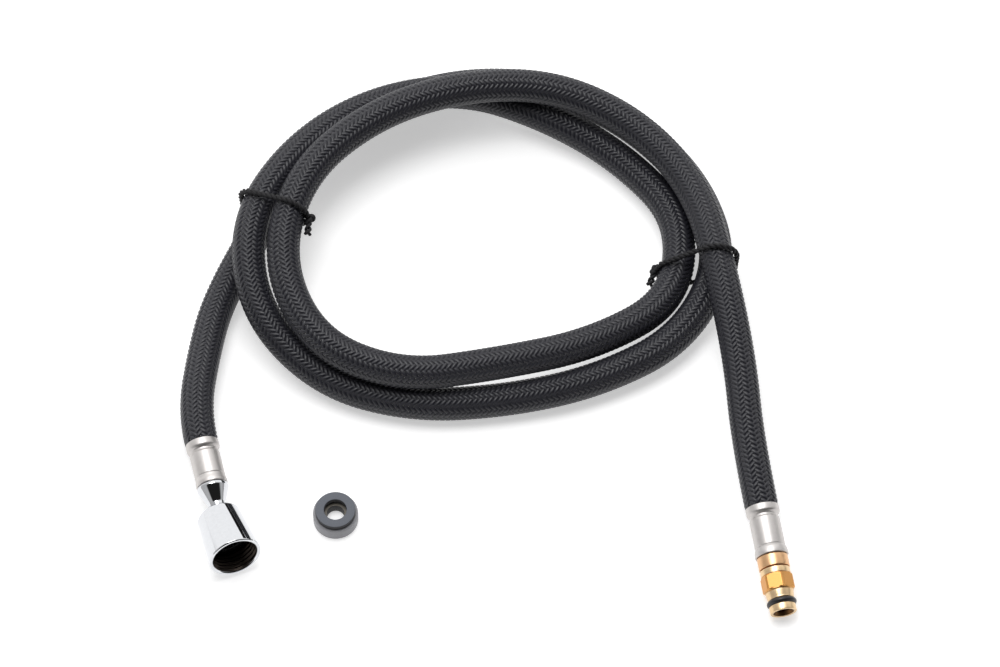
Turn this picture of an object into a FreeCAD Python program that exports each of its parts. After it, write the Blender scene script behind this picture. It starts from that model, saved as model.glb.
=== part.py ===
"""Braided pull-out tap hose, coiled in three passes and held by two ties.

One end carries a coupling nut on a ball joint, the other a brass spigot with
an O-ring, and a spare check seal lies loose beside the coil. Millimetres, +Z
up, the floor at z = 0, the origin under the middle of the whole object.
"""
import FreeCAD, Part
import math
import os
import Sketcher

from FreeCAD import Placement, Rotation, Vector

OUT = "parts"
os.makedirs(OUT, exist_ok=True)
doc = FreeCAD.newDocument("braided_hose")

# ---------------------------------------------------------------- dimensions
DIMENSIONS = {
    # hose
    "hose_outer": 7.0,         # radius over the braid
    "braid_inner": 6.1,        # radius under the braid, on the liner
    "liner_bore": 4.0,
    "crimped_braid": 5.6,      # radius over the braid inside a ferrule
    "crimped_liner": 5.1,
    "tail_length": 15.0,       # hose held inside each ferrule
    "neck_length": 1.2,        # where the hose narrows into the ferrule
    # crimped ferrules
    "spray_sleeve": 19.8,      # length of the spray-end ferrule
    "supply_sleeve": 21.6,     # length of the supply-end ferrule
    "rim_radius": 6.95,
    "rim_length": 2.6,
    "groove_radius": 6.05,
    "barrel_start": 5.4,
    "barrel_radius": 6.3,
    "skirt_length": 3.9,       # flared end of a ferrule
    "spray_skirt": 6.6,        # end radius of the spray-end ferrule
    "supply_skirt": 6.95,      # end radius of the supply-end ferrule
    "lip_start": 16.2,         # inner lip that locks on the insert's collar
    "collar_radius": 4.6,
    # barbed inserts
    "barb_start": 2.0,
    "barb_root": 3.8,
    "barb_crest": 4.15,
    "barb_pitch": 3.4,
    "water_bore": 2.8,
    # ball stem
    "stem_flange": 6.6,
    "flange_end": 21.4,
    "cone_end": 28.2,
    "neck_radius": 3.7,
    "ball_centre": 38.0,
    "ball_radius": 6.2,
    "ball_flat": 4.9,          # the ball is cut flat this far past its centre
    # ball seat
    "cup_inner": 6.27,
    "cup_outer": 7.5,
    "seat_play": 0.08,
    "seat_front": 2.6,         # first plane of the front seat, past the ball centre
    "seat_length": 3.2,
    "seat_outer": 8.2,
    "seat_seal_section": 0.75,
    "seat_seal_centre": 7.42,
    "seat_groove": 6.65,
    "seat_groove_start": 3.4,
    "seat_groove_width": 1.6,
    "cup_back": 3.4,           # the cup's two faces, behind the ball centre
    "cup_front": 0.8,
    # coupling nut, measured from the ball centre
    "nut_back": -6.0,
    "nut_hole": 6.0,
    "nut_hole_mouth": 6.9,
    "shoulder_radius": 7.6,
    "nut_waist": 9.3,
    "waist_back": 1.7,         # the waist's distance from the nut's back
    "nut_front": 17.4,
    "nut_mouth_outer": 11.0,
    "seat_bore": 8.25,
    "seat_stop": 2.4,
    "washer_face": 6.0,
    "washer_pocket": 8.6,
    "thread_start": 8.4,
    "thread_radius": 9.3,
    "washer_thick": 2.0,
    "washer_outer": 8.5,
    "washer_inner": 5.6,
    # brass supply fitting
    "insert_collar": 6.4,
    "insert_collar_end": 27.0,
    "spigot_thread": 4.9,      # the insert screws into the body on this radius
    "spigot_end": 35.0,
    "body_start": 27.5,
    "body_flange": 6.2,
    "hex_start": 30.2,
    "hex_end": 36.8,
    "hex_corner": 6.7,
    "hex_flat": 6.05,
    "nozzle_radius": 5.5,
    "nozzle_root": 5.9,        # where the nozzle's taper leaves the hexagon
    "nozzle_start": 40.0,
    "seal_groove_start": 40.6,
    "seal_groove_end": 43.1,
    "seal_groove_radius": 3.75,
    "nozzle_end": 46.0,
    "nozzle_bore": 3.2,
    "nozzle_mouth": 4.3,
    "nozzle_seal_radius": 5.0,
    "nozzle_seal_section": 1.2,
    # loose check seal
    "carrier_outer": 9.25,
    "carrier_height": 5.9,
    "carrier_bore": 5.05,
    "seal_outer": 8.25,
    "seal_height": 2.6,
    "seal_bore": 4.6,
    "sleeve_inner": 3.6,
    "sleeve_height": 4.6,
    # ties
    "tie_radius": 1.15,
    "tie_gap": 0.6,
    "knot_radius": 2.1,
    "tie_tail": 6.0,
}

sheet = doc.addObject("Spreadsheet::Sheet", "Dimensions")
for row, (alias, value) in enumerate(DIMENSIONS.items(), start=1):
    sheet.set(f"A{row}", alias)
    sheet.set(f"B{row}", str(value))
    sheet.setAlias(f"B{row}", alias)
doc.recompute()


def size(alias):
    """A driving dimension, read from the sheet."""
    return float(sheet.get(alias))


# ---------------------------------------------------------------- hose route
# Centreline from the spray end to the supply end. Each pass of the coil lies
# on the one before it where they cross. The supply end slopes down from the top
# of the coil to the floor, and the spray end lies on its coupling nut.
ROUTE = [Vector(*point) for point in (
    # spray end up the left side, through the left tie, over the top
    (-116.8, -55, 12.2), (-120.4, -40.6, 13.1), (-117.3, -10.6, 10), (-112.3, 14.9, 8.3),
    (-96, 50, 10.1), (-78, 86, 9.7), (-47, 111.5, 8), (-9.5, 125, 7.2),
    (31, 122, 7.5), (64.5, 102.5, 7.5),
    # down the right side and along the outer bottom of the coil
    (90, 71.8, 8.4), (100, 32.5, 10.2), (81.8, -4, 9.7), (46.5, -23.5, 9),
    (9, -32, 7.5), (-30.5, -34.5, 7.5), (-68.5, -23, 8),
    # second pass, over the first on the left, inside it on the right
    (-96.5, 5, 17.5), (-101, 44, 25.5), (-81, 80.5, 24.5), (-49.5, 105, 22.5),
    (-10.5, 115, 19), (27, 105.5, 11), (58.5, 86, 7.5), (83.2, 54.2, 10.4),
    (79, 13.5, 12.2), (44.5, -10.5, 17), (4.5, -21.5, 20), (-35, -28, 20.5),
    (-71.5, -12.5, 22.5),
    # third pass, on top of the others, then down to the supply end
    (-87.5, 24.5, 27.5), (-77.5, 64.5, 31.5), (-48, 92.5, 32.5), (-11, 107, 32.5),
    (28.5, 111.5, 26.5), (64.5, 95, 21.5), (89, 62.5, 22), (98.4, 19.5, 25.4),
    (105.3, -20.1, 20.3), (107.9, -55.8, 16.2), (113.1, -84.8, 12.1),
)]
BARBS = 3
ARC_SHARE = 0.45       # part of a run that the arc at each of its ends may take


def route_wire(points):
    """Straight runs joined by arcs tangent to both, and the arcs' radii.

    The first and last runs have an arc at one end only, which may take twice as much.
    """
    edges = []
    radii = []
    start = points[0]
    cuts = [ARC_SHARE * first.distanceToPoint(last) for first, last in zip(points, points[1:])]
    cuts[0] *= 2
    cuts[-1] *= 2
    for index in range(1, len(points) - 1):
        corner = points[index]
        inward = (corner - points[index - 1]).normalize()
        outward = (points[index + 1] - corner).normalize()
        cut = min(cuts[index - 1], cuts[index])
        half_turn = inward.getAngle(outward) / 2
        radius = cut / math.tan(half_turn)
        first = corner - inward * cut
        last = corner + outward * cut
        towards = (outward - inward).normalize()
        middle = corner + towards * (radius / math.cos(half_turn) - radius)
        edges.append(Part.LineSegment(start, first).toShape())
        edges.append(Part.Arc(first, middle, last).toShape())
        radii.append(radius)
        start = last
    edges.append(Part.LineSegment(start, points[-1]).toShape())
    return Part.Wire(edges), radii


def tube_along(wire, direction, radius):
    """A round bar swept along a wire that starts in the given direction."""
    start = wire.OrderedVertexes[0].Point
    profile = Part.Wire([Part.makeCircle(radius, start, direction)])
    return wire.makePipeShell([profile], True, False)


def out_of_end(end):
    """Unit vector that leaves the hose at its first (0) or last (-1) point."""
    inner = 1 if end == 0 else -2
    return (ROUTE[end] - ROUTE[inner]).normalize()


def placed_at(point, direction):
    """Placement whose +Z axis runs along a direction from a point."""
    return Placement(point, Rotation(Vector(0, 0, 1), direction))


def raised(place, distance):
    """The same placement, moved along its own +Z axis."""
    return place.multiply(Placement(Vector(0, 0, distance), Rotation()))


SPRAY_END = placed_at(ROUTE[0], out_of_end(0))
SUPPLY_END = placed_at(ROUTE[-1], out_of_end(-1))

# The coupling nut rests on its shoulder, tipped up and a little sideways on its ball.
NUT_HEADING = math.radians(20.5)    # from -Y towards +X
NUT_RISE = math.radians(9)
NUT_AXIS = Vector(
    math.sin(NUT_HEADING) * math.cos(NUT_RISE),
    -math.cos(NUT_HEADING) * math.cos(NUT_RISE),
    math.sin(NUT_RISE),
)
BALL = SPRAY_END.multVec(Vector(0, 0, size("ball_centre")))
AT_BALL = placed_at(BALL, NUT_AXIS)
LOOSE_SEAL = Placement(Vector(-61.5, -83.6, 0), Rotation())


# ------------------------------------------------------------- build helpers
def name_part(item, label, placement):
    """Give a sub-part its label, which names its file, and its place."""
    item.Label = label
    item.Placement = placement
    parts.append(item)
    return item


def origin_feature(body, role):
    """One of a body's own origin planes or axes, by its role."""
    return next(item for item in body.Origin.OriginFeatures if item.Role == role)


def outline_sketch(body, name, outline):
    """Closed half outline on the XZ plane: (radius, height) cells or formulas."""
    sketch = body.newObject("Sketcher::SketchObject", name)
    sketch.AttachmentSupport = [(origin_feature(body, "XZ_Plane"), "")]
    sketch.MapMode = "FlatFace"
    corners = [Vector(value_of(radius), value_of(height), 0) for radius, height in outline]
    for start, end in zip(corners, corners[1:] + corners[:1]):
        sketch.addGeometry(Part.LineSegment(start, end), False)
    for index in range(len(corners)):
        following = (index + 1) % len(corners)
        sketch.addConstraint(Sketcher.Constraint("Coincident", index, 2, following, 1))
    for index, (radius, height) in enumerate(outline):
        for kind, formula in (("DistanceX", radius), ("DistanceY", height)):
            bind_corner(sketch, kind, index, formula)
    return sketch


def bind_corner(sketch, kind, index, formula):
    """Tie one coordinate of a corner to the sheet."""
    if value_of(formula) == 0:
        axis = -2 if kind == "DistanceX" else -1
        sketch.addConstraint(Sketcher.Constraint("PointOnObject", index, 1, axis))
        return
    number = sketch.addConstraint(
        Sketcher.Constraint(kind, -1, 1, index, 1, value_of(formula)))
    sketch.setExpression(f"Constraints[{number}]", on_sheet(formula))


def on_sheet(formula):
    """Write a sum of cell names and numbers as an expression on the sheet."""
    words = formula.split()
    named = [f"Dimensions.{word}" if word in DIMENSIONS else word for word in words]
    return " ".join(named)


def value_of(formula):
    """The value of a sum of cell names and numbers, such as "rim_radius - 0.3"."""
    total = 0.0
    sign = 1
    for word in formula.split():
        if word in ("+", "-"):
            sign = 1 if word == "+" else -1
        else:
            total += sign * (size(word) if word in DIMENSIONS else float(word))
    return total


def turned(body, name, outline):
    """Revolve an outline about the body's Z axis."""
    sketch = outline_sketch(body, name + "_outline", outline)
    turn = body.newObject("PartDesign::Revolution", name)
    turn.Profile = sketch
    turn.ReferenceAxis = (origin_feature(body, "Z_Axis"), [""])
    turn.Angle = 360
    sketch.Visibility = False
    body.Tip = turn
    return turn


def new_body(label):
    """An empty PartDesign body."""
    return doc.addObject("PartDesign::Body", label)


def turned_part(label, outline, placement):
    """A sub-part made by one revolution."""
    body = new_body(label)
    turned(body, "Turned", outline)
    return name_part(body, label, placement)


def ring_seal(label, ring_radius, section, placement):
    """An O-ring."""
    ring = doc.addObject("Part::Torus", label)
    ring.setExpression("Radius1", on_sheet(ring_radius))
    ring.setExpression("Radius2", on_sheet(section))
    return name_part(ring, label, placement)


# --------------------------------------------------------------------- parts
parts = []
hose_wire, hose_radii = route_wire(ROUTE)


def hose_bar(radius, crimped):
    """A solid bar along the route, narrowed where each ferrule holds its end."""
    bar = tube_along(hose_wire, out_of_end(0) * -1, radius)
    tail = size("tail_length")
    neck = size("neck_length")
    outline = Part.makePolygon([
        Vector(0, 0, 0), Vector(radius, 0, 0), Vector(crimped, 0, neck),
        Vector(crimped, 0, tail), Vector(0, 0, tail), Vector(0, 0, 0)])
    for end in (SPRAY_END, SUPPLY_END):
        end_piece = Part.Face(outline).revolve(Vector(), Vector(0, 0, 1), 360)
        end_piece.Placement = end
        bar = bar.fuse(end_piece)
    return bar


def make_hose():
    """The braided jacket and the liner that carries the water."""
    layers = {
        "hose_braid": (("hose_outer", "crimped_braid"), ("braid_inner", "crimped_liner")),
        "hose_liner": (("braid_inner", "crimped_liner"), ("liner_bore", "liner_bore")),
    }
    for label, (outside, inside) in layers.items():
        outer, crimped_outer = (size(alias) for alias in outside)
        inner, crimped_inner = (size(alias) for alias in inside)
        layer = doc.addObject("Part::Feature", label)
        layer.Shape = hose_bar(outer, crimped_outer).cut(hose_bar(inner, crimped_inner))
        name_part(layer, label, Placement())
        section = math.pi * (outer ** 2 - inner ** 2)
        share = layer.Shape.Volume / (section * hose_wire.Length)
        print(f"{label}: volume is {share:.4f} of section times length, tails included")


def make_ferrule(label, sleeve, skirt, placement):
    """A crimped sleeve: rolled rim, groove, straight barrel, flared skirt."""
    outline = [
        ("crimped_braid", "neck_length"),
        ("hose_outer - 0.5", "0"),
        ("rim_radius - 0.2", "0"),
        ("rim_radius", "0.3"),
        ("rim_radius", "rim_length"),
        ("rim_radius - 0.3", "rim_length + 0.7"),
        ("groove_radius", "rim_length + 1.2"),
        ("groove_radius", "barrel_start - 0.6"),
        ("barrel_radius", "barrel_start"),
        ("barrel_radius", f"{sleeve} - skirt_length"),
        (f"{skirt} - 0.2", f"{sleeve} - skirt_length + 1.0"),
        (skirt, f"{sleeve} - skirt_length + 2.4"),
        (skirt, f"{sleeve} - 0.3"),
        (f"{skirt} - 0.3", sleeve),
        ("collar_radius", sleeve),
        ("collar_radius", "lip_start"),
        ("crimped_braid", "lip_start"),
    ]
    turned_part(label, outline, placement)


def barb_outline():
    """Outer corners of the barbs, from the tip to the locking collar."""
    outline = [("water_bore", "barb_start"), ("barb_root - 0.4", "barb_start")]
    for count in range(BARBS):
        rise = " + barb_pitch" * count
        outline.append(("barb_root", f"barb_start{rise} + 0.6"))
        outline.append(("barb_crest", f"barb_start{rise} + 3.0"))
        outline.append(("barb_root", f"barb_start{rise} + 3.0"))
    outline.append(("barb_root", "lip_start - 1.2"))
    outline.append(("collar_radius", "lip_start"))
    return outline


def make_ball_stem():
    """Chromed insert: barbs in the liner, a cone outside, and the ball."""
    body = new_body("ball_stem")
    turned(body, "Stem", barb_outline() + [
        ("collar_radius", "spray_sleeve"),
        ("stem_flange - 0.15", "spray_sleeve"),
        ("stem_flange", "spray_sleeve + 0.15"),
        ("stem_flange", "flange_end"),
        ("neck_radius + 0.2", "cone_end - 0.5"),
        ("neck_radius", "cone_end"),
        ("neck_radius", "ball_centre"),
        ("water_bore", "ball_centre"),
    ])
    ball = body.newObject("PartDesign::AdditiveSphere", "Ball")
    ball.setExpression("Radius", on_sheet("ball_radius"))
    ball.setExpression("Placement.Base.z", on_sheet("ball_centre"))
    passage = body.newObject("PartDesign::SubtractiveCylinder", "Passage")
    passage.setExpression("Radius", on_sheet("water_bore"))
    passage.setExpression("Height", on_sheet("ball_centre + 20"))
    face = body.newObject("PartDesign::SubtractiveCylinder", "BallFace")
    face.setExpression("Radius", on_sheet("ball_radius + 1"))
    face.setExpression("Height", on_sheet("ball_radius"))
    face.setExpression("Placement.Base.z", on_sheet("ball_centre + ball_flat"))
    body.Tip = face
    name_part(body, "ball_stem", SPRAY_END)


def make_ball_cup():
    """Acetal cup behind the ball, round inside and out."""
    cup = doc.addObject("Part::Cut", "ball_cup")
    shell = doc.addObject("Part::Sphere", "CupShell")
    shell.setExpression("Radius", on_sheet("cup_outer"))
    shell.setExpression("Angle1", "-asin(Dimensions.cup_back / Dimensions.cup_outer)")
    shell.setExpression("Angle2", "-asin(Dimensions.cup_front / Dimensions.cup_outer)")
    hollow = doc.addObject("Part::Sphere", "CupHollow")
    hollow.setExpression("Radius", on_sheet("cup_inner"))
    cup.Base = shell
    cup.Tool = hollow
    name_part(cup, "ball_cup", AT_BALL)


def make_front_seat():
    """Ring that holds the ball from the front, with an O-ring in its groove."""
    body = new_body("front_seat")
    turned(body, "Ring", [
        ("ball_flat - 1.2", "seat_front"),
        ("seat_outer", "seat_front"),
        ("seat_outer", "seat_groove_start"),
        ("seat_groove", "seat_groove_start"),
        ("seat_groove", "seat_groove_start + seat_groove_width"),
        ("seat_outer", "seat_groove_start + seat_groove_width"),
        ("seat_outer", "seat_front + seat_length"),
        ("ball_flat - 1.2", "seat_front + seat_length"),
    ])
    hollow = body.newObject("PartDesign::SubtractiveSphere", "BallSeat")
    hollow.setExpression("Radius", on_sheet("cup_inner"))
    body.Tip = hollow
    name_part(body, "front_seat", AT_BALL)
    middle = size("seat_groove_start") + size("seat_groove_width") / 2
    ring_seal("seat_seal", "seat_seal_centre", "seat_seal_section", raised(AT_BALL, middle))


def make_nut():
    """Conical coupling nut with its thread bore and the round seat at its back."""
    body = new_body("coupling_nut")
    turned(body, "Shell", [
        ("nut_hole_mouth", "nut_back"),
        ("shoulder_radius", "nut_back"),
        ("nut_waist", "nut_back + waist_back"),
        ("nut_mouth_outer", "nut_front - 0.4"),
        ("nut_mouth_outer - 0.4", "nut_front"),
        ("thread_radius + 0.5", "nut_front"),
        ("thread_radius", "nut_front - 0.6"),
        ("thread_radius", "thread_start"),
        ("washer_pocket", "thread_start"),
        ("washer_pocket", "washer_face"),
        ("seat_bore", "washer_face"),
        ("seat_bore", "seat_stop"),
        ("nut_hole", "seat_stop"),
        ("nut_hole", "nut_back + 0.9"),
    ])
    seat = body.newObject("PartDesign::SubtractiveSphere", "CupSeat")
    seat.setExpression("Radius", on_sheet("cup_outer + seat_play"))
    body.Tip = seat
    name_part(body, "coupling_nut", AT_BALL)


def make_nut_washer():
    """Flat rubber washer at the bottom of the thread."""
    turned_part("nut_washer", [
        ("washer_inner", "washer_face"),
        ("washer_outer", "washer_face"),
        ("washer_outer", "washer_face + washer_thick"),
        ("washer_inner", "washer_face + washer_thick"),
    ], AT_BALL)


def make_supply_fitting():
    """Brass insert, hexagonal body with the nozzle, and the nozzle's O-ring."""
    turned_part("connector_insert", barb_outline() + [
        ("collar_radius", "supply_sleeve"),
        ("insert_collar - 0.2", "supply_sleeve"),
        ("insert_collar", "supply_sleeve + 0.2"),
        ("insert_collar", "insert_collar_end - 0.3"),
        ("insert_collar - 0.3", "insert_collar_end"),
        ("spigot_thread", "insert_collar_end"),
        ("spigot_thread", "spigot_end"),
        ("water_bore", "spigot_end"),
    ], SUPPLY_END)
    body = new_body("connector_body")
    turned(body, "Turned", [
        ("spigot_thread", "body_start"),
        ("body_flange - 0.2", "body_start"),
        ("body_flange", "body_start + 0.2"),
        ("body_flange", "hex_start"),
        ("hex_corner - 0.4", "hex_start"),
        ("hex_corner", "hex_start + 0.4"),
        ("hex_corner", "hex_end - 0.6"),
        ("hex_corner - 0.6", "hex_end"),
        ("nozzle_root", "hex_end"),
        ("nozzle_radius", "nozzle_start"),
        ("nozzle_radius", "seal_groove_start"),
        ("seal_groove_radius", "seal_groove_start"),
        ("seal_groove_radius", "seal_groove_end"),
        ("nozzle_radius", "seal_groove_end"),
        ("nozzle_radius", "nozzle_end - 0.5"),
        ("nozzle_radius - 0.5", "nozzle_end"),
        ("nozzle_mouth", "nozzle_end"),
        ("nozzle_bore", "nozzle_end - 1.6"),
        ("nozzle_bore", "spigot_end"),
        ("spigot_thread", "spigot_end"),
    ])
    flat = body.newObject("PartDesign::SubtractiveBox", "HexFlat")
    flat.setExpression("Placement.Base.x", on_sheet("hex_flat"))
    flat.setExpression("Placement.Base.y", on_sheet("0 - hex_corner"))
    flat.setExpression("Placement.Base.z", on_sheet("hex_start"))
    flat.setExpression("Length", on_sheet("hex_corner"))
    flat.setExpression("Width", on_sheet("hex_corner + hex_corner"))
    flat.setExpression("Height", on_sheet("hex_end - hex_start"))
    doc.recompute()
    flats = body.newObject("PartDesign::PolarPattern", "HexFlats")
    flats.Originals = [flat]
    flats.Axis = (origin_feature(body, "Z_Axis"), [""])
    flats.Angle = 360
    flats.Occurrences = 6
    body.Tip = flats
    name_part(body, "connector_body", SUPPLY_END)
    middle = (size("seal_groove_start") + size("seal_groove_end")) / 2
    ring_seal("nozzle_seal", "nozzle_seal_radius", "nozzle_seal_section",
              raised(SUPPLY_END, middle))


def make_loose_seal():
    """Spare check seal: carrier ring, rubber seal on top, sleeve inside."""
    turned_part("seal_carrier", [
        ("carrier_bore", "0"),
        ("carrier_outer - 0.3", "0"),
        ("carrier_outer", "0.3"),
        ("carrier_outer", "carrier_height - 0.4"),
        ("carrier_outer - 0.4", "carrier_height"),
        ("carrier_bore", "carrier_height"),
    ], LOOSE_SEAL)
    turned_part("check_seal", [
        ("seal_bore", "carrier_height"),
        ("seal_outer", "carrier_height"),
        ("seal_outer", "carrier_height + seal_height - 0.3"),
        ("seal_outer - 0.3", "carrier_height + seal_height"),
        ("seal_bore", "carrier_height + seal_height"),
    ], LOOSE_SEAL)
    turned_part("seal_sleeve", [
        ("sleeve_inner", "0.4"),
        ("carrier_bore", "0.4"),
        ("carrier_bore", "0.4 + sleeve_height"),
        ("sleeve_inner", "0.4 + sleeve_height"),
    ], LOOSE_SEAL)


TAIL_SPLAY = 0.4       # how far a tie's tail turns away from the hose


def make_tie(label, middle, along):
    """A cord tie: one loop pulled tight round the strands, and its twisted tail."""
    across = along.cross(Vector(0, 0, 1)).normalize()
    upright = across.cross(along).normalize()
    strands = strands_through(middle, along)
    reach = size("hose_outer") + size("tie_gap") + size("tie_radius")
    flat_spots = [(point - middle).dot(across) for point in strands]
    heights = [(point - middle).dot(upright) for point in strands]
    loop = hull_of_discs(list(zip(flat_spots, heights)), reach)
    path = Part.Wire([on_plane(edge, middle, across, upright) for edge in loop])
    start = path.OrderedVertexes[0].Point
    heading = path.OrderedEdges[0].tangentAt(path.OrderedEdges[0].FirstParameter)
    band = path.makePipeShell(
        [Part.Wire([Part.makeCircle(size("tie_radius"), start, heading)])], True, False)
    side = max(flat_spots)
    knot_radius = size("knot_radius")
    clear = size("hose_outer") + size("tie_gap") + knot_radius
    knot_at = (middle + across * (side + clear)
               + upright * heights[flat_spots.index(side)])
    knot = Part.makeSphere(knot_radius, knot_at)
    down_the_hose = along if along.y < 0 else along * -1
    tail_heading = down_the_hose + across * TAIL_SPLAY
    tail = Part.makeCylinder(size("tie_radius"), size("tie_tail"), knot_at, tail_heading)
    tie = doc.addObject("Part::Feature", label)
    tie.Shape = band.fuse([knot, tail]).removeSplitter()
    name_part(tie, label, Placement())
    print(f"{label}: goes round {len(strands)} strands")


def strands_through(middle, along):
    """Centres of the hose's passes where they cross a plane near its middle."""
    side = 60.0
    plane = Part.makePlane(side, side, Vector(-side / 2, -side / 2, 0))
    plane.Placement = placed_at(middle, along)
    return [vertex.Point for vertex in hose_wire.section(plane).Vertexes]


def hull_of_discs(centres, reach):
    """Outline pulled tight round equal discs: (kind, points) in plane terms."""
    ordered = convex_corners(centres)
    pieces = []
    count = len(ordered)
    for index in range(count):
        here = ordered[index]
        after = ordered[(index + 1) % count]
        before = ordered[index - 1]
        normal_in = outward_normal(before, here)
        normal_out = outward_normal(here, after)
        turn = (math.atan2(normal_out[1], normal_out[0])
                - math.atan2(normal_in[1], normal_in[0])) % (2 * math.pi)
        bisector = math.atan2(normal_in[1], normal_in[0]) + turn / 2
        first = shifted(here, normal_in, reach)
        middle = shifted(here, (math.cos(bisector), math.sin(bisector)), reach)
        last = shifted(here, normal_out, reach)
        pieces.append((first, middle, last))
        pieces.append((last, shifted(after, normal_out, reach)))
    return pieces


def shifted(point, direction, distance):
    """A plane point moved along a direction."""
    return (point[0] + direction[0] * distance, point[1] + direction[1] * distance)


def outward_normal(start, end):
    """Unit normal on the right of a step, which is outside a left-turning loop."""
    length = math.hypot(end[0] - start[0], end[1] - start[1])
    return ((end[1] - start[1]) / length, (start[0] - end[0]) / length)


def convex_corners(points):
    """Corners of the convex hull, turning left."""
    ordered = sorted(points)
    corners = []
    for sequence in (ordered, ordered[::-1]):
        chain = []
        for point in sequence:
            while len(chain) > 1 and turn_of(chain[-2], chain[-1], point) <= 0:
                chain.pop()
            chain.append(point)
        corners += chain[:-1]
    return corners


def turn_of(first, second, third):
    """Positive where three plane points turn left."""
    return ((second[0] - first[0]) * (third[1] - first[1])
            - (second[1] - first[1]) * (third[0] - first[0]))


def on_plane(piece, middle, across, upright):
    """An edge of the loop, carried from plane terms into the frame."""
    points = [middle + across * x + upright * y for x, y in piece]
    if len(points) == 3:
        return Part.Arc(*points).toShape()
    return Part.LineSegment(*points).toShape()


make_hose()
make_ferrule("spray_end_ferrule", "spray_sleeve", "spray_skirt", SPRAY_END)
make_ball_stem()
make_ball_cup()
make_front_seat()
make_nut()
make_nut_washer()
make_ferrule("supply_end_ferrule", "supply_sleeve", "supply_skirt", SUPPLY_END)
make_supply_fitting()
make_loose_seal()
make_tie("tie_left", Vector(-92, 52, 19.5), Vector(0.42, 0.9, 0.04).normalize())
make_tie("tie_right", Vector(92, 28, 17), Vector(-0.02, -1, 0).normalize())

# --------------------------------------------------------- check and write
doc.recompute()
for item in doc.Objects:
    if "Invalid" in item.State or "Error" in item.State:
        raise RuntimeError(f"{item.Label} failed: {item.State}")
for item in parts:
    if item.Shape.isNull() or not item.Shape.isValid():
        raise RuntimeError(f"{item.Label} has no valid shape")
    item.Shape.exportStep(f"{OUT}/{item.Label}.step")

print("hose length", round(hose_wire.Length, 1))
print("hose radii", [round(radius) for radius in hose_radii])
whole = FreeCAD.BoundBox()
for item in parts:
    box = item.Shape.optimalBoundingBox(True, False)
    whole.add(box)
    print(f"{item.Label:20s} volume {item.Shape.Volume:9.1f}  solids {len(item.Shape.Solids)}"
          f"  z {box.ZMin:6.2f} to {box.ZMax:6.2f}")
print("whole x", round(whole.XMin, 2), round(whole.XMax, 2),
      "y", round(whole.YMin, 2), round(whole.YMax, 2),
      "z", round(whole.ZMin, 2), round(whole.ZMax, 2))
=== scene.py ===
"""Braided pull-out tap hose: the looks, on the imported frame. Metres, +Z up."""
import math

import bmesh
import bpy
import numpy as np
from mathutils import Matrix, Vector


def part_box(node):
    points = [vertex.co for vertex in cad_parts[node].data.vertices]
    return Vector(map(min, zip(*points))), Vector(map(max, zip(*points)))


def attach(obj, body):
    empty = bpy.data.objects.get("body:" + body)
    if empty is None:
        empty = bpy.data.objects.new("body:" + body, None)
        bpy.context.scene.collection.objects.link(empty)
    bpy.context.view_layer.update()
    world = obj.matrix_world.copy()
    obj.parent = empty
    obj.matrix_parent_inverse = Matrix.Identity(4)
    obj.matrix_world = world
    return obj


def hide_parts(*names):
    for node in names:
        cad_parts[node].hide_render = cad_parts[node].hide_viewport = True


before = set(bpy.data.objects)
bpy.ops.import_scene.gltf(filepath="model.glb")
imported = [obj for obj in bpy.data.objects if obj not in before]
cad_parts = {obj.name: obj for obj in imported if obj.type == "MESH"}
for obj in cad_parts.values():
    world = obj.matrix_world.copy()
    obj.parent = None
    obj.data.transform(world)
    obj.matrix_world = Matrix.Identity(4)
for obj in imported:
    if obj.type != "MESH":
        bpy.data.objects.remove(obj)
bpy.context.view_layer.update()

MM = 0.001
HALF_INCH_PITCH = 25.4 / 14

# ------------------------------------------------------------------- sizes
# The same driving sizes as the CAD model, in millimetres.
HOSE_RADIUS = 7.0
CORE_RADIUS = 6.15         # near-black tube under the yarns, painted shade in the gaps between them
NECK_RADIUS = 6.55         # over the yarns where they enter a ferrule
YARNS = 16                 # yarns wound each way
TURN_LENGTH = 34.4         # along the hose, for one turn of a yarn
YARN_WIDTH = 1.62
SPRAY_SLEEVE = 19.8        # the ferrules' lengths
SUPPLY_SLEEVE = 21.6
BALL_CENTRE = 38.0
NUT_HEADING = math.radians(20.5)
NUT_RISE = math.radians(9)

# The hose's route, point by point as in the CAD model, in metres.
ROUTE = [Vector(point) * MM for point in (
    # spray end up the left side, through the left tie, over the top
    (-116.8, -55, 12.2), (-120.4, -40.6, 13.1), (-117.3, -10.6, 10), (-112.3, 14.9, 8.3),
    (-96, 50, 10.1), (-78, 86, 9.7), (-47, 111.5, 8), (-9.5, 125, 7.2),
    (31, 122, 7.5), (64.5, 102.5, 7.5),
    # down the right side and along the outer bottom of the coil
    (90, 71.8, 8.4), (100, 32.5, 10.2), (81.8, -4, 9.7), (46.5, -23.5, 9),
    (9, -32, 7.5), (-30.5, -34.5, 7.5), (-68.5, -23, 8),
    # second pass, over the first on the left, inside it on the right
    (-96.5, 5, 17.5), (-101, 44, 25.5), (-81, 80.5, 24.5), (-49.5, 105, 22.5),
    (-10.5, 115, 19), (27, 105.5, 11), (58.5, 86, 7.5), (83.2, 54.2, 10.4),
    (79, 13.5, 12.2), (44.5, -10.5, 17), (4.5, -21.5, 20), (-35, -28, 20.5),
    (-71.5, -12.5, 22.5),
    # third pass, on top of the others, then down to the supply end
    (-87.5, 24.5, 27.5), (-77.5, 64.5, 31.5), (-48, 92.5, 32.5), (-11, 107, 32.5),
    (28.5, 111.5, 26.5), (64.5, 95, 21.5), (89, 62.5, 22), (98.4, 19.5, 25.4),
    (105.3, -20.1, 20.3), (107.9, -55.8, 16.2), (113.1, -84.8, 12.1),
)]


def placed_at(point, direction):
    """Matrix whose +Z axis runs along a direction from a point."""
    turn = Vector(direction).to_track_quat("Z", "Y").to_matrix().to_4x4()
    return Matrix.Translation(point) @ turn


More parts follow.
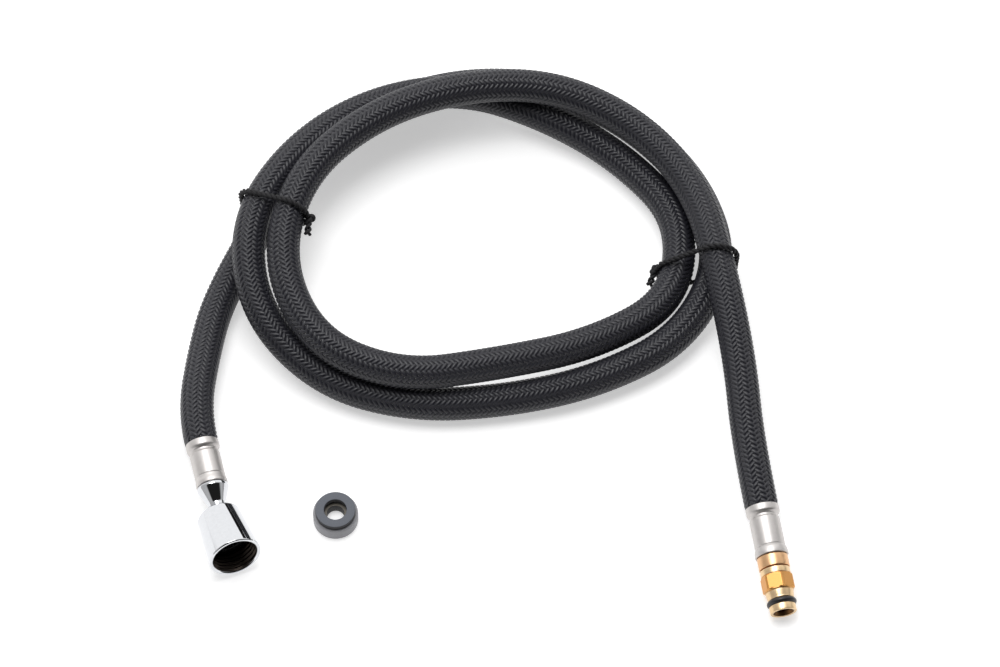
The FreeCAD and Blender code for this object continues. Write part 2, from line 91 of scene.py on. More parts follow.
SPRAY_END = placed_at(ROUTE[0], (ROUTE[0] - ROUTE[1]).normalized())
SUPPLY_END = placed_at(ROUTE[-1], (ROUTE[-1] - ROUTE[-2]).normalized())
NUT_AXIS = Vector((
    math.sin(NUT_HEADING) * math.cos(NUT_RISE),
    -math.cos(NUT_HEADING) * math.cos(NUT_RISE),
    math.sin(NUT_RISE),
))
AT_BALL = placed_at(SPRAY_END @ Vector((0, 0, BALL_CENTRE * MM)), NUT_AXIS)
SEAL_LOW, SEAL_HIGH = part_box("seal_carrier")
LOOSE_SEAL = Matrix.Translation((
    (SEAL_LOW[0] + SEAL_HIGH[0]) / 2, (SEAL_LOW[1] + SEAL_HIGH[1]) / 2, SEAL_LOW[2]))


# ------------------------------------------------------------------ camera
def make_camera():
    """A long lens looking down at 60 degrees, square on to the coil's front."""
    view_width = 0.418
    distance = 2.2
    elevation = math.radians(60)
    target = Vector((0.006, 0.0005, 0.007))
    back = Vector((0, -math.cos(elevation), math.sin(elevation)))
    data = bpy.data.cameras.new("camera")
    data.sensor_width = 36
    data.lens = data.sensor_width * distance / view_width
    data.clip_end = 20
    camera = bpy.data.objects.new("camera", data)
    camera.location = target + back * distance
    camera.rotation_mode = "QUATERNION"
    camera.rotation_quaternion = (-back).to_track_quat("-Z", "Y")
    bpy.context.collection.objects.link(camera)
    bpy.context.scene.camera = camera


make_camera()


# ---------------------------------------------------------- the hose's line
def make_spline(points):
    """The route as a NURBS curve with no bevel, read back as a dense line."""
    data = bpy.data.curves.new("hose_line", "CURVE")
    data.dimensions = "3D"
    spline = data.splines.new("NURBS")
    spline.points.add(len(points) - 1)
    for control, point in zip(spline.points, points):
        control.co = (*point, 1)
    spline.order_u = 3
    spline.use_endpoint_u = True
    spline.resolution_u = 48
    curve = bpy.data.objects.new("hose_line", data)
    bpy.context.collection.objects.link(curve)
    depsgraph = bpy.context.evaluated_depsgraph_get()
    line = bpy.data.meshes.new_from_object(curve.evaluated_get(depsgraph))
    dense = np.array([vertex.co[:] for vertex in line.vertices])
    bpy.data.objects.remove(curve)
    bpy.data.meshes.remove(line)
    return dense


def lengths_along(line):
    """Distance from a line's start to each of its points."""
    steps = np.linalg.norm(np.diff(line, axis=0), axis=1)
    return np.concatenate([[0], np.cumsum(steps)])


def evenly(line, count):
    """The line as evenly spaced points."""
    along = lengths_along(line)
    wanted = np.linspace(0, along[-1], count)
    return np.stack([np.interp(wanted, along, line[:, axis]) for axis in range(3)], axis=1)


def carried_frames(line):
    """Two unit normals at each point, carried along the line without twisting."""
    tangents = np.gradient(line, axis=0)
    tangents /= np.linalg.norm(tangents, axis=1)[:, None]
    normals = np.zeros_like(line)
    normal = np.cross(tangents[0], (0, 0, 1))
    for index, tangent in enumerate(tangents):
        normal = normal - tangent * normal.dot(tangent)
        normal /= np.linalg.norm(normal)
        normals[index] = normal
    return normals, np.cross(tangents, normals)


# ------------------------------------------------------------ mesh helpers
def mesh_piece(name, vertices, faces, material, sharp=None):
    """A smooth-shaded mesh object from numpy vertices and faces."""
    data = bpy.data.meshes.new(name)
    data.from_pydata([tuple(vertex) for vertex in vertices], [], faces)
    data.update()
    data.shade_smooth()
    if sharp is not None:
        data.set_sharp_from_angle(angle=math.radians(sharp))
    data.materials.append(material)
    piece = bpy.data.objects.new(name, data)
    bpy.context.collection.objects.link(piece)
    return piece


def grid_faces(rows, columns, wrap_columns=True, wrap_rows=False):
    """Quads over a grid of rows by columns, joined round where asked."""
    row = np.arange(rows if wrap_rows else rows - 1)
    column = np.arange(columns if wrap_columns else columns - 1)
    row, column = np.meshgrid(row, column, indexing="ij")
    next_row = (row + 1) % rows
    next_column = (column + 1) % columns
    corners = (row * columns + column, row * columns + next_column,
               next_row * columns + next_column, next_row * columns + column)
    return np.stack(corners, axis=-1).reshape(-1, 4)


def rounded(outline, fillet, steps=4):
    """A closed (radius, height) outline with every corner rounded off."""
    points = [Vector(point) for point in outline]
    smooth = []
    for index, corner in enumerate(points):
        before = points[index - 1]
        after = points[(index + 1) % len(points)]
        reach = min(fillet, (before - corner).length * 0.45, (after - corner).length * 0.45)
        first = corner + (before - corner).normalized() * reach
        last = corner + (after - corner).normalized() * reach
        for step in range(steps + 1):
            share = step / steps
            smooth.append(first.lerp(corner, share).lerp(corner.lerp(last, share), share))
    return smooth


def lathe(name, outline, place, material, segments=128, shaping=None, sharp=50, others=()):
    """Turn a closed (radius, height) outline in mm about the placement's +Z axis.

    shaping may change the radius of a point, given its angle, radius and height.
    others are more materials, each with the first and last outline points that have it.
    """
    angles = np.arange(segments) * 2 * math.pi / segments
    rings = []
    for radius, height in outline:
        radii = np.full(segments, float(radius))
        if shaping is not None:
            radii = shaping(angles, radii, float(height))
        ring = np.stack([radii * np.cos(angles), radii * np.sin(angles),
                         np.full(segments, float(height))], axis=1)
        rings.append(ring)
    vertices = np.concatenate(rings) * MM
    turn = np.array(place)
    vertices = vertices @ turn[:3, :3].T + turn[:3, 3]
    faces = grid_faces(len(outline), segments, wrap_rows=True)[:, ::-1]
    piece = mesh_piece(name, vertices, faces.tolist(), material, sharp)
    index = np.zeros(len(outline) * segments, dtype=np.int32)
    for number, (other, first, last) in enumerate(others, start=1):
        piece.data.materials.append(other)
        index[first * segments:last * segments] = number
    piece.data.polygons.foreach_set("material_index", index)
    return piece


def finish_piece(piece, body, slot, *nodes):
    """Ride a body and stand for CAD nodes. The slot is not used."""
    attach(piece, body)
    if nodes:
        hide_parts(*nodes)
    return piece


# --------------------------------------------------------------- materials
class Shader:
    """A node material with short ways to add and join nodes."""

    def __init__(self, name):
        self.material = bpy.data.materials.new(name)
        self.material.use_nodes = True
        self.tree = self.material.node_tree
        self.surface = self.tree.nodes["Principled BSDF"]

    def node(self, kind, **inputs):
        """Add a node and set its inputs."""
        node = self.tree.nodes.new(kind)
        for name, value in inputs.items():
            node.inputs[name.replace("_", " ")].default_value = value
        return node

    def join(self, source, target):
        """Link an output to an input."""
        self.tree.links.new(source, target)

    def set(self, **inputs):
        """Set the surface's own sockets."""
        for name, value in inputs.items():
            self.surface.inputs[name.replace("_", " ")].default_value = value

    def colour_from(self, value, dark, pale):
        """Colour the surface between two colours by a value."""
        ramp = self.tree.nodes.new("ShaderNodeMix")
        ramp.data_type = "RGBA"
        ramp.inputs["A"].default_value = (*dark, 1)
        ramp.inputs["B"].default_value = (*pale, 1)
        self.join(value, ramp.inputs["Factor"])
        self.join(ramp.outputs["Result"], self.surface.inputs["Base Color"])

    def roughness_from(self, value, low, high):
        """Roughness between two limits by a value."""
        span = self.node("ShaderNodeMapRange", To_Min=low, To_Max=high)
        self.join(value, span.inputs["Value"])
        self.join(span.outputs["Result"], self.surface.inputs["Roughness"])

    def bump_from(self, value, strength, distance):
        """Bump the surface by a value; the distance is in metres."""
        bump = self.node("ShaderNodeBump", Strength=strength, Distance=distance)
        self.join(value, bump.inputs["Height"])
        self.join(bump.outputs["Normal"], self.surface.inputs["Normal"])

    def noise(self, scale, detail=3, stretch=(1, 1, 1)):
        """Noise in the row frame, stretched along an axis."""
        place = self.tree.nodes.new("ShaderNodeTexCoord")
        mapping = self.tree.nodes.new("ShaderNodeMapping")
        mapping.inputs["Scale"].default_value = stretch
        texture = self.node("ShaderNodeTexNoise", Scale=scale, Detail=detail)
        self.join(place.outputs["Object"], mapping.inputs["Vector"])
        self.join(mapping.outputs["Vector"], texture.inputs["Vector"])
        return texture.outputs["Fac"]


def nylon_material():
    """Charcoal nylon yarn: fine filaments along it, a soft sheen."""
    shader = Shader("nylon")
    shader.set(Metallic=0, Specular_IOR_Level=0.5, IOR=1.5)
    place = shader.tree.nodes.new("ShaderNodeUVMap")
    place.uv_map = "yarn"
    mapping = shader.tree.nodes.new("ShaderNodeMapping")
    mapping.inputs["Scale"].default_value = (9, 0.7, 1)
    filaments = shader.node("ShaderNodeTexNoise", Scale=1, Detail=2)
    shader.join(place.outputs["UV"], mapping.inputs["Vector"])
    shader.join(mapping.outputs["Vector"], filaments.inputs["Vector"])
    shader.colour_from(filaments.outputs["Fac"], (0.004, 0.004, 0.006), (0.030, 0.030, 0.040))
    shader.roughness_from(filaments.outputs["Fac"], 0.30, 0.50)
    shader.bump_from(filaments.outputs["Fac"], 0.5, 0.00008)
    return shader.material


def core_material():
    """Near-black tube under the braid: painted shade seen through the gaps between the yarns.
    """
    shader = Shader("braid_painted_gap_shade")
    shader.set(Roughness=0.8)
    shader.colour_from(shader.noise(900), (0.002, 0.002, 0.003), (0.005, 0.005, 0.007))
    return shader.material


def metal_material(name, dark, pale, roughness, turning=0.0, scale=700):
    """Metal with faint colour changes, uneven gloss and fine surface marks."""
    shader = Shader(name)
    shader.set(Metallic=1)
    value = shader.noise(scale)
    shader.colour_from(value, dark, pale)
    shader.roughness_from(value, *roughness)
    if turning:
        shader.bump_from(shader.noise(scale * 4, 2), turning, 0.00003)
    return shader.material


def dull_material(name, dark, pale, roughness, grain=1400, depth=0.00004):
    """Rubber or moulded plastic with a fine grain."""
    shader = Shader(name)
    value = shader.noise(grain)
    shader.colour_from(value, dark, pale)
    shader.roughness_from(value, *roughness)
    shader.bump_from(value, 0.35, depth)
    return shader.material


NYLON = nylon_material()
# near-black tube under the yarns: painted shade in the gaps between them
PAINTED_GAP_SHADE = core_material()
SATIN = metal_material(
    "satin_nickel", (0.54, 0.515, 0.50), (0.64, 0.615, 0.60), (0.40, 0.52), turning=0.3)
CHROME = metal_material("chrome", (0.62, 0.63, 0.65), (0.69, 0.70, 0.72), (0.03, 0.07))
NUT_BORE = metal_material(
    "shadowed_bore", (0.035, 0.028, 0.024), (0.08, 0.065, 0.055), (0.28, 0.45), turning=0.3)
COLLAR_BRASS = metal_material(
    "rosy_brass", (0.68, 0.41, 0.21), (0.78, 0.49, 0.28), (0.28, 0.40), turning=0.25)
BRASS_PALE = metal_material(
    "pale_brass", (0.70, 0.50, 0.28), (0.80, 0.60, 0.37), (0.26, 0.38), turning=0.25)
BRASS = metal_material(
    "brass", (0.58, 0.28, 0.08), (0.70, 0.36, 0.12), (0.34, 0.48), turning=0.25)
# brass drawn near black inside the nozzle's mouth: painted shade in the bore
BRASS_BORE_PAINTED_SHADE = metal_material(
    "brass_bore_painted_shade", (0.10, 0.05, 0.02), (0.20, 0.10, 0.04), (0.35, 0.5), turning=0.25)
BLACK_RUBBER = dull_material(
    "black_rubber", (0.008, 0.008, 0.009), (0.02, 0.02, 0.022), (0.3, 0.45))
SLATE_RUBBER = dull_material(
    "slate_rubber", (0.085, 0.095, 0.115), (0.13, 0.14, 0.165), (0.55, 0.75))
# near black for the loose seal's sides and the sleeve's bore: painted shade on the same rubber
# and plastic
SEAL_PAINTED_SHADE = dull_material(
    "seal_painted_shade", (0.010, 0.010, 0.012), (0.022, 0.022, 0.026), (0.5, 0.7))
GREY_PLASTIC = dull_material(
    "grey_plastic", (0.22, 0.22, 0.24), (0.31, 0.31, 0.33), (0.4, 0.55))
WARM_PLASTIC = dull_material(
    "warm_grey_plastic", (0.15, 0.135, 0.11), (0.22, 0.20, 0.17), (0.5, 0.7))
ACETAL = dull_material("acetal", (0.72, 0.72, 0.70), (0.82, 0.82, 0.80), (0.35, 0.5))
LINER = dull_material("liner", (0.62, 0.62, 0.58), (0.72, 0.72, 0.68), (0.4, 0.55))
TIE_CORD = dull_material(
    "tie_cord", (0.002, 0.002, 0.003), (0.007, 0.006, 0.009), (0.6, 0.8))


# ---------------------------------------------------------------- the hose
HOSE_LINE = make_spline(ROUTE)
HOSE_LENGTH = float(lengths_along(HOSE_LINE)[-1])


def neck_factor(along, length):
    """1 along the hose, less where its ends narrow into the ferrules."""
    from_end = np.minimum(along, length - along) / (1.5 * MM)
    share = np.clip(from_end, 0, 1)
    eased = share * share * (3 - 2 * share)
    return NECK_RADIUS / HOSE_RADIUS + (1 - NECK_RADIUS / HOSE_RADIUS) * eased


def make_core():
    """The closed tube under the yarns, near-black as painted shade in the gaps between them."""
    rings = 1600
    sides = 24
    line = evenly(HOSE_LINE, rings)
    normals, binormals = carried_frames(line)
    along = np.linspace(0, HOSE_LENGTH, rings)
    radius = CORE_RADIUS * MM * neck_factor(along, HOSE_LENGTH)
    angles = np.arange(sides) * 2 * math.pi / sides
    outward = (normals[:, None] * np.cos(angles)[None, :, None]
               + binormals[:, None] * np.sin(angles)[None, :, None])
    vertices = (line[:, None] + outward * radius[:, None, None]).reshape(-1, 3)
    faces = grid_faces(rings, sides)[:, ::-1].tolist()
    faces.append(list(range(sides)))
    faces.append(list(range((rings - 1) * sides, rings * sides))[::-1])
    core = mesh_piece("braid_core", vertices, faces, PAINTED_GAP_SHADE)
    return core, line


def make_yarns(name, hand):
    """All the flat yarns wound one way, as ribbons that go two over, two under."""
    crossings_per_turn = 2 * YARNS
    edge_lift, yarn_inset, swing = -0.40, 0.25, 0.24
    uv_step_along, uv_step_across = 37.0, 3.0   # keep each yarn's grain its own
    points = int(HOSE_LENGTH / MM / TURN_LENGTH * crossings_per_turn) + 1
    line = evenly(HOSE_LINE, points)
    normals, binormals = carried_frames(line)
    tangents = np.cross(normals, binormals)
    narrowing = neck_factor(np.linspace(0, HOSE_LENGTH, points), HOSE_LENGTH)
    crossing = np.arange(points)
    turn = hand * crossing * 2 * math.pi / crossings_per_turn
    lifts = (edge_lift, 0.0, 0.0, edge_lift)
    sideways = (-1.0, -0.45, 0.45, 1.0)
    middle = HOSE_RADIUS - yarn_inset
    lay = math.atan2(2 * math.pi * HOSE_RADIUS, TURN_LENGTH)
    ribbon = grid_faces(points, len(sideways), wrap_columns=False)
    if hand > 0:
        ribbon = ribbon[:, ::-1]
    # each strip of a yarn is stored whole, one after the other
    ribbon = ribbon % len(sideways) * points + ribbon // len(sideways)
    vertices = []
    faces = []
    for yarn in range(YARNS):
        start = yarn * 2 * math.pi / YARNS
        phase = math.pi / 4 + hand * math.pi / 2 * (crossing + hand * 2 * yarn)
        wave = hand * np.sign(np.cos(phase))
        for lift, side in zip(lifts, sideways):
            across = side * YARN_WIDTH / 2
            angle = start + turn - hand * across * math.cos(lay) / HOSE_RADIUS
            radius = (middle + swing * wave + lift) * MM * narrowing
            outward = normals * np.cos(angle)[:, None] + binormals * np.sin(angle)[:, None]
            shift = tangents * across * math.sin(lay) * MM
            vertices.append(line + outward * radius[:, None] + shift)
        faces.append(ribbon + yarn * points * len(sideways))
    piece = mesh_piece(name, np.concatenate(vertices), np.concatenate(faces).tolist(), NYLON)
    layer = piece.data.uv_layers.new(name="yarn")
    corner = np.zeros(len(piece.data.loops), dtype=np.int64)
    piece.data.loops.foreach_get("vertex_index", corner)
    across_uv = (corner // points) % len(sideways) / (len(sideways) - 1)
    yarn_number = corner // (points * len(sideways))
    along_uv = corner % points + yarn_number * uv_step_along
    flat = np.stack([across_uv + yarn_number * uv_step_across, along_uv], axis=1).ravel()
    layer.data.foreach_set("uv", flat.astype(np.float32))
    return piece


core, core_path = make_core()
finish_piece(core, "hose", "braid", "hose_braid")
yarns = [make_yarns("yarns_right_hand", 1), make_yarns("yarns_left_hand", -1)]
for piece in yarns:
    finish_piece(piece, "hose", "braid", "hose_braid")


# ---------------------------------------------------------------- ferrules
def make_ferrule(name, sleeve, skirt, place):
    """A crimped sleeve: rolled rim, groove, straight barrel, flared skirt."""
    outline = rounded([
        (5.6, 1.2), (6.4, 0), (6.95, 0.0), (6.95, 2.7), (6.6, 3.4), (5.85, 3.9),
        (5.85, 4.9), (6.3, 5.5), (6.3, sleeve - 4.2), (6.12, sleeve - 4.0),
        (6.3, sleeve - 3.7), (skirt - 0.25, sleeve - 2.9), (skirt, sleeve - 1.5),
        (skirt, sleeve), (4.6, sleeve), (4.6, 16.2), (5.6, 16.2),
    ], 0.3)
    return lathe(name, outline, place, SATIN, sharp=35)


spray_ferrule = make_ferrule("ferrule_spray", SPRAY_SLEEVE, 6.6, SPRAY_END)
finish_piece(spray_ferrule, "hose", "satin_nickel", "spray_end_ferrule")
supply_ferrule = make_ferrule("ferrule_supply", SUPPLY_SLEEVE, 6.95, SUPPLY_END)
finish_piece(supply_ferrule, "hose", "satin_nickel", "supply_end_ferrule")


# --------------------------------------------------------------- spray end
def make_stem():
    """Chromed stem: collar in the ferrule, cone, neck and ball."""
    cone = rounded([
        (2.8, 16.2), (4.6, 16.2), (4.6, 19.85), (5.8, 19.85), (5.8, 20.2), (6.6, 20.25),
        (6.6, 21.4), (3.9, 27.7), (3.7, 28.2), (3.7, BALL_CENTRE - 4.4),
        (2.8, BALL_CENTRE - 4.4),
    ], 0.3)
    stem = lathe("stem_cone", cone, SPRAY_END, CHROME)
    start = math.asin(3.6 / 6.2)
    end = math.pi / 2 + math.asin(4.9 / 6.2)
    ball = [(2.8, BALL_CENTRE - 5.0)]
    for step in range(49):
        angle = start + (end - start) * step / 48
        ball.append((6.2 * math.sin(angle), BALL_CENTRE - 6.2 * math.cos(angle)))
    ball.append((2.8, BALL_CENTRE + 4.9))
    ball_piece = lathe("stem_ball", ball, SPRAY_END, CHROME)
    return stem, ball_piece


def thread_shaping(start, end, minor, depth):
    """Cut a helical V thread into the wall at the minor radius."""
    def shape(angles, radii, height):
        if abs(radii[0] - minor) > 0.01 or not start < height < end:
            return radii
        phase = (height / HALF_INCH_PITCH - angles / (2 * math.pi)) % 1
        wave = np.clip(1.25 - 2.5 * np.abs(phase - 0.5) * 1.0, 0, 1)
        fade = min(1.0, (height - start) / 0.9, (end - height) / 0.9)
        return radii + depth * wave * fade
    return shape


def make_nut():
    """Conical chromed nut: rounded shoulder, smooth taper, rolled mouth, thread."""
    seat = 7.58
    outside = rounded([
        (6.0, -5.1), (6.9, -6.0), (7.6, -6.0), (9.3, -4.3), (11.0, 17.0), (10.65, 17.4),
        (9.9, 17.4), (9.35, 16.9),
    ], 0.6, steps=5)
    thread_rows = [(9.3, 16.8 - 0.15 * step) for step in range(56)]
    inside = [(9.3, 8.4), (8.6, 8.4), (8.6, 6.0), (8.25, 6.0), (8.25, 2.4)]
    bowl = []
    for step in range(17):
        height = 2.4 - (2.4 + 4.63) * step / 16
        bowl.append((math.sqrt(seat ** 2 - height ** 2), height))
    outline = outside + thread_rows + inside + bowl
    shaping = thread_shaping(8.4, 16.9, 9.3, 0.6)
    bore = (NUT_BORE, len(outside) - 4, len(outside) + len(thread_rows) + len(inside))
    return lathe("nut_shell", outline, AT_BALL, CHROME, segments=192, shaping=shaping,
                 others=[bore])


def make_nut_washer():
    """Flat rubber washer with softened edges."""
    outline = rounded([(5.6, 6.0), (8.5, 6.0), (8.5, 8.0), (5.6, 8.0)], 0.3)
    return lathe("washer_flat", outline, AT_BALL, BLACK_RUBBER)


for piece in make_stem():
    finish_piece(piece, "hose", "chrome", "ball_stem")
finish_piece(make_nut(), "coupling_nut", "chrome", "coupling_nut")
finish_piece(make_nut_washer(), "coupling_nut", "black_rubber", "nut_washer")


# -------------------------------------------------------------- supply end
def make_insert():
    """Pale brass collar and the spigot that screws into the body."""
    outline = rounded([
        (2.8, 16.2), (4.6, 16.2), (4.6, 21.7), (6.0, 21.7), (6.0, 21.95), (6.4, 22.0),
        (6.4, 27.0), (4.9, 27.0), (4.9, 35.0), (2.8, 35.0),
    ], 0.25)
    return lathe("insert_collar", outline, SUPPLY_END, COLLAR_BRASS)


def hexagon_shaping(start, end, flat, heading):
    """Cut six flats into what is turned between two heights, the first at a heading."""
    def shape(angles, radii, height):
        if not start <= height <= end:
            return radii
        to_flat = (angles - heading + math.pi / 6) % (math.pi / 3) - math.pi / 6
        return np.minimum(radii, np.maximum(flat / np.cos(to_flat), radii[0] - 2))
    return shape


def make_body():
    """Brass body: thin flange, chamfered hexagon, taper, nozzle and its groove."""
    flange = rounded([
        (4.9, 27.5), (6.2, 27.5), (6.2, 30.0), (5.9, 30.05), (5.9, 30.2),
    ], 0.2)
    hexagon = [(6.1, 30.22), (6.3, 30.24), (6.7, 30.65)]
    hexagon += [(6.7, 30.8 + 0.5 * step) for step in range(12)]
    hexagon += [(6.1, 36.78)]
    taper = rounded([
        (5.6, 36.85), (5.6, 37.1), (5.85, 37.25), (5.5, 40.0), (5.5, 40.6), (3.75, 40.6),
        (3.75, 43.1), (5.5, 43.1), (5.5, 46.0), (4.3, 46.0), (3.2, 44.4), (3.2, 35.0),
        (4.9, 35.0),
    ], 0.25)
    shaping = hexagon_shaping(30.215, 36.79, 6.05, math.radians(47))
    turned = len(flange) + len(hexagon)
    bore_first, bore_last = 48, 59     # rows of the rounded taper inside its mouth
    orange = (BRASS, len(flange) - 1, turned - 1)
    # the mouth's inside is brass painted dark as shade
    bore = (BRASS_BORE_PAINTED_SHADE, turned + bore_first, turned + bore_last)
    return lathe("body_turned", flange + hexagon + taper, SUPPLY_END, BRASS_PALE,
                 segments=360, shaping=shaping, sharp=25, others=[orange, bore])


def make_ring(name, radius, section, place, height, material):
    """An O-ring."""
    outline = []
    for step in range(24):
        angle = step * 2 * math.pi / 24
        outline.append((radius + section * math.cos(angle), height + section * math.sin(angle)))
    return lathe(name, outline, place, material)


finish_piece(make_insert(), "hose", "brass", "connector_insert")
finish_piece(make_body(), "hose", "brass", "connector_body")
nozzle_ring = make_ring("ring_nozzle", 5.0, 1.2, SUPPLY_END, 41.85, BLACK_RUBBER)
finish_piece(nozzle_ring, "hose", "black_rubber", "nozzle_seal")


# -------------------------------------------------------------- loose seal
def make_loose_seal():
    """Spare check seal: grey carrier, slate rubber seal, sleeve inside, with painted shade on
    the seal's sides and in the sleeve's bore.
    """
    carrier = rounded([(5.05, 0), (9.25, 0), (9.25, 5.9), (5.05, 5.9)], 0.4)
    rubber = rounded([(4.6, 5.9), (8.25, 5.9), (8.25, 8.5), (4.6, 8.5)], 0.35)
    sleeve = rounded([(3.6, 0.4), (5.05, 0.4), (5.05, 5.0), (3.6, 5.0)], 0.2)
    # the seal's top is slate; its sides and bottom are drawn near black as painted shade, as is
    # the sleeve's bore
    return (
        (lathe("seal_lower_ring", carrier, LOOSE_SEAL, GREY_PLASTIC), "seal_carrier",
         "grey_plastic"),
        (lathe("seal_rubber", rubber, LOOSE_SEAL, SEAL_PAINTED_SHADE, others=[(SLATE_RUBBER, 12, 17)]),
         "check_seal", "slate_rubber"),
        (lathe("seal_inner_ring", sleeve, LOOSE_SEAL, SEAL_PAINTED_SHADE,
               others=[(WARM_PLASTIC, 12, 17)]), "seal_sleeve", "warm_grey_plastic"),
    )


for piece, node, slot in make_loose_seal():
    finish_piece(piece, "loose_seal", slot, node)


# -------------------------------------------------------------------- ties
TIE_STRAND = 0.72          # radius of each of the tie cord's two strands
TIE_TWIST = 0.60           # their distance from the cord's middle
TIE_PITCH = 5.0            # along the cord, for one full twist
TIE_CLEAR = 0.1


def tube(path, radius, sides=8, closed=False):
    """Vertices and faces of a round tube along a path in metres."""
    normals, binormals = carried_frames(path)
    angles = np.arange(sides) * 2 * math.pi / sides
    outward = (normals[:, None] * np.cos(angles)[None, :, None]
               + binormals[:, None] * np.sin(angles)[None, :, None])
    vertices = (path[:, None] + outward * radius).reshape(-1, 3)
    faces = grid_faces(len(path), sides, wrap_rows=closed)[:, ::-1].tolist()
    if not closed:
        faces.append(list(range(sides)))
        faces.append(list(range((len(path) - 1) * sides, len(path) * sides))[::-1])
    return vertices, faces


def twisted_pair(path, splay=0.0):
    """Two strands twisted together along a path; splay opens their far end."""
    normals, binormals = carried_frames(path)
    along = lengths_along(path)
    share = along / along[-1]
    reach = (TIE_TWIST + splay * share ** 2) * MM
    strands = []
    for start in (0, math.pi):
        angle = start + 2 * math.pi * along / (TIE_PITCH * MM)
        offset = normals * np.cos(angle)[:, None] + binormals * np.sin(angle)[:, None]
        strands.append(tube(path + offset * reach[:, None], TIE_STRAND * MM))
    return strands


def hose_crossings(middle, along, across, upright):
    """Where the hose's passes cross a tie's plane, in plane terms."""
    relative = HOSE_LINE - np.array(middle)
    side = relative @ np.array(along)
    found = []
    for index in np.nonzero(side[:-1] * side[1:] <= 0)[0]:
        share = side[index] / (side[index] - side[index + 1])
        point = relative[index] * (1 - share) + relative[index + 1] * share
        if np.linalg.norm(point) < 30 * MM:
            found.append((point @ np.array(across), point @ np.array(upright)))
    return np.array(found)


def make_tie(name, middle, along):
    """A twisted cord pulled round the passes of the hose, with its knot and tail."""
    middle = Vector(middle) * MM
    along = Vector(along).normalized()
    across = along.cross(Vector((0, 0, 1))).normalized()
    upright = across.cross(along).normalized()
    centres = hose_crossings(middle, along, across, upright)
    cord = TIE_TWIST + TIE_STRAND
    reach = (HOSE_RADIUS + TIE_CLEAR + cord) * MM
    loop = []
    for angle in np.linspace(0, 2 * math.pi, 361):
        normal = np.array((math.cos(angle), math.sin(angle)))
        spot = centres[np.argmax(centres @ normal)] + normal * reach
        loop.append(middle + across * spot[0] + upright * spot[1])
    parts = twisted_pair(evenly(np.array(loop), 150))
    outer = centres[np.argmax(centres[:, 0])]
    knot_at = middle + across * (outer[0] + reach + 0.6 * MM) + upright * outer[1]
    turns = np.linspace(0, 2 * math.pi, 48, endpoint=False)
    knot_size = 1.7
    knot = np.stack([np.sin(turns) + 2 * np.sin(2 * turns),
                     np.cos(turns) - 2 * np.cos(2 * turns), -np.sin(3 * turns)], axis=1)
    turned = np.array((across, along, upright))
    knot = np.array(knot_at) + (knot / 3 * knot_size * MM) @ turned
    parts.append(tube(knot, 0.95 * MM, closed=True))
    down = along if along.y < 0 else -along
    heading = (down + across * 0.35).normalized()
    steps = np.linspace(0, 7.0 * MM, 24)
    curl = (steps / steps[-1]) ** 2 * 1.2 * MM
    tail = (np.array(knot_at) + steps[:, None] * np.array(heading)
            - curl[:, None] * np.array((0, 0, 1)))
    parts += twisted_pair(tail, splay=0.5)
    vertices = []
    faces = []
    for part_vertices, part_faces in parts:
        base = sum(len(block) for block in vertices)
        faces += [[corner + base for corner in face] for face in part_faces]
        vertices.append(part_vertices)
    return mesh_piece(name, np.concatenate(vertices), faces, TIE_CORD)


finish_piece(make_tie("tie_cord_left", (-92, 52, 19.5), (0.42, 0.9, 0.04)),
             "hose", "tie_cord", "tie_left")
finish_piece(make_tie("tie_cord_right", (92, 28, 17), (-0.02, -1, 0)),
             "hose", "tie_cord", "tie_right")

# ------------------------------------------------- CAD nodes that stay shown
for node, material in (
    ("hose_liner", LINER), ("ball_cup", ACETAL), ("front_seat", ACETAL),
    ("seat_seal", BLACK_RUBBER),
):
    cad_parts[node].data.materials.clear()
    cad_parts[node].data.materials.append(material)


# ----------------------------------------------------------- floor and light
def make_floor():
    """A pale, faintly glowing floor far wider than the coil, like a light table."""
    half = 3.0
    corners = [(-half, -half, 0), (half, -half, 0), (half, half, 0), (-half, half, 0)]
    shader = Shader("floor")
    shader.set(Base_Color=(0.75, 0.75, 0.75, 1), Roughness=0.9, Specular_IOR_Level=0.2,
               Emission_Color=(1, 1, 1, 1), Emission_Strength=0.5)
    floor = mesh_piece("floor", corners, [(0, 1, 2, 3)], shader.material)


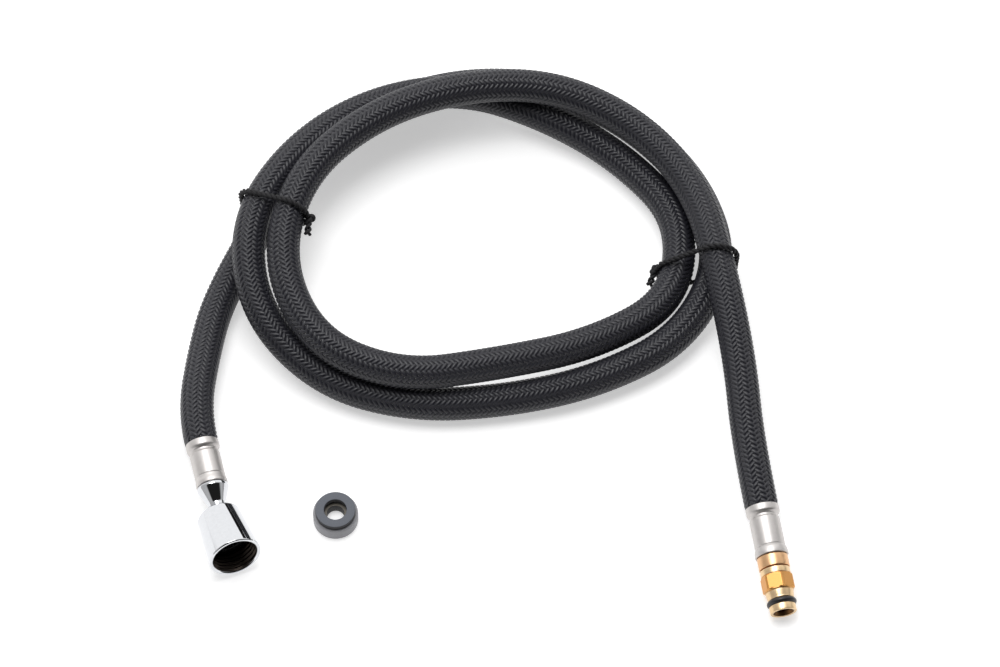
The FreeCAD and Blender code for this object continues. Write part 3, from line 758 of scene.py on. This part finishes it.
def make_area(name, place, target, size, power):
    """A soft rectangular light."""
    data = bpy.data.lights.new(name, "AREA")
    data.shape = "RECTANGLE"
    data.size, data.size_y = size
    data.energy = power
    lamp = bpy.data.objects.new(name, data)
    lamp.location = place
    lamp.rotation_mode = "QUATERNION"
    lamp.rotation_quaternion = (Vector(target) - Vector(place)).to_track_quat("-Z", "Y")
    bpy.context.collection.objects.link(lamp)


def make_world():
    """White surroundings, dimmer behind, with a dark gap behind and one in front."""
    world = bpy.data.worlds.new("studio")
    world.use_nodes = True
    tree = world.node_tree
    place = tree.nodes.new("ShaderNodeTexCoord")
    direction = tree.nodes.new("ShaderNodeSeparateXYZ")
    tree.links.new(place.outputs["Generated"], direction.inputs["Vector"])

    def side(axis, start, end):
        """0 before start and 1 past end, along one axis of the direction."""
        span = tree.nodes.new("ShaderNodeMapRange")
        span.interpolation_type = "SMOOTHSTEP"
        span.inputs["From Min"].default_value = start
        span.inputs["From Max"].default_value = end
        tree.links.new(direction.outputs[axis], span.inputs["Value"])
        return span.outputs["Result"]

    def product(*values):
        """All the values multiplied together."""
        total = values[0]
        for value in values[1:]:
            node = tree.nodes.new("ShaderNodeMath")
            node.operation = "MULTIPLY"
            tree.links.new(total, node.inputs[0])
            tree.links.new(value, node.inputs[1])
            total = node.outputs["Value"]
        return total

    def lit(value, darkest):
        """1 outside a gap, the darkest level inside it."""
        span = tree.nodes.new("ShaderNodeMapRange")
        span.inputs["To Min"].default_value = 1.0
        span.inputs["To Max"].default_value = darkest
        tree.links.new(value, span.inputs["Value"])
        return span.outputs["Result"]

    back_gap = product(side("Z", 0.08, 0.10), side("Z", 0.29, 0.27), side("X", 0.12, 0.20),
                       side("Y", 0.0, 0.3))
    front_gap = product(side("Y", -0.02, -0.12), side("X", -0.62, -0.50))
    dimmer_side = side("Y", 0.45, 0.15)
    level = product(lit(back_gap, 0.01), lit(front_gap, 0.03), lit(dimmer_side, 0.45))
    background = tree.nodes["Background"]
    tree.links.new(level, background.inputs["Color"])
    background.inputs["Strength"].default_value = 1.25
    bpy.context.scene.world = world


make_floor()
make_world()
KEY_PLACE = (-0.15, 0.15, 1.5)
KEY_SIZE = (1.0, 0.7)
KEY_WATTS = 13
make_area("key", KEY_PLACE, (0, 0, 0), KEY_SIZE, KEY_WATTS)
bpy.context.scene.view_settings.view_transform = "Standard"
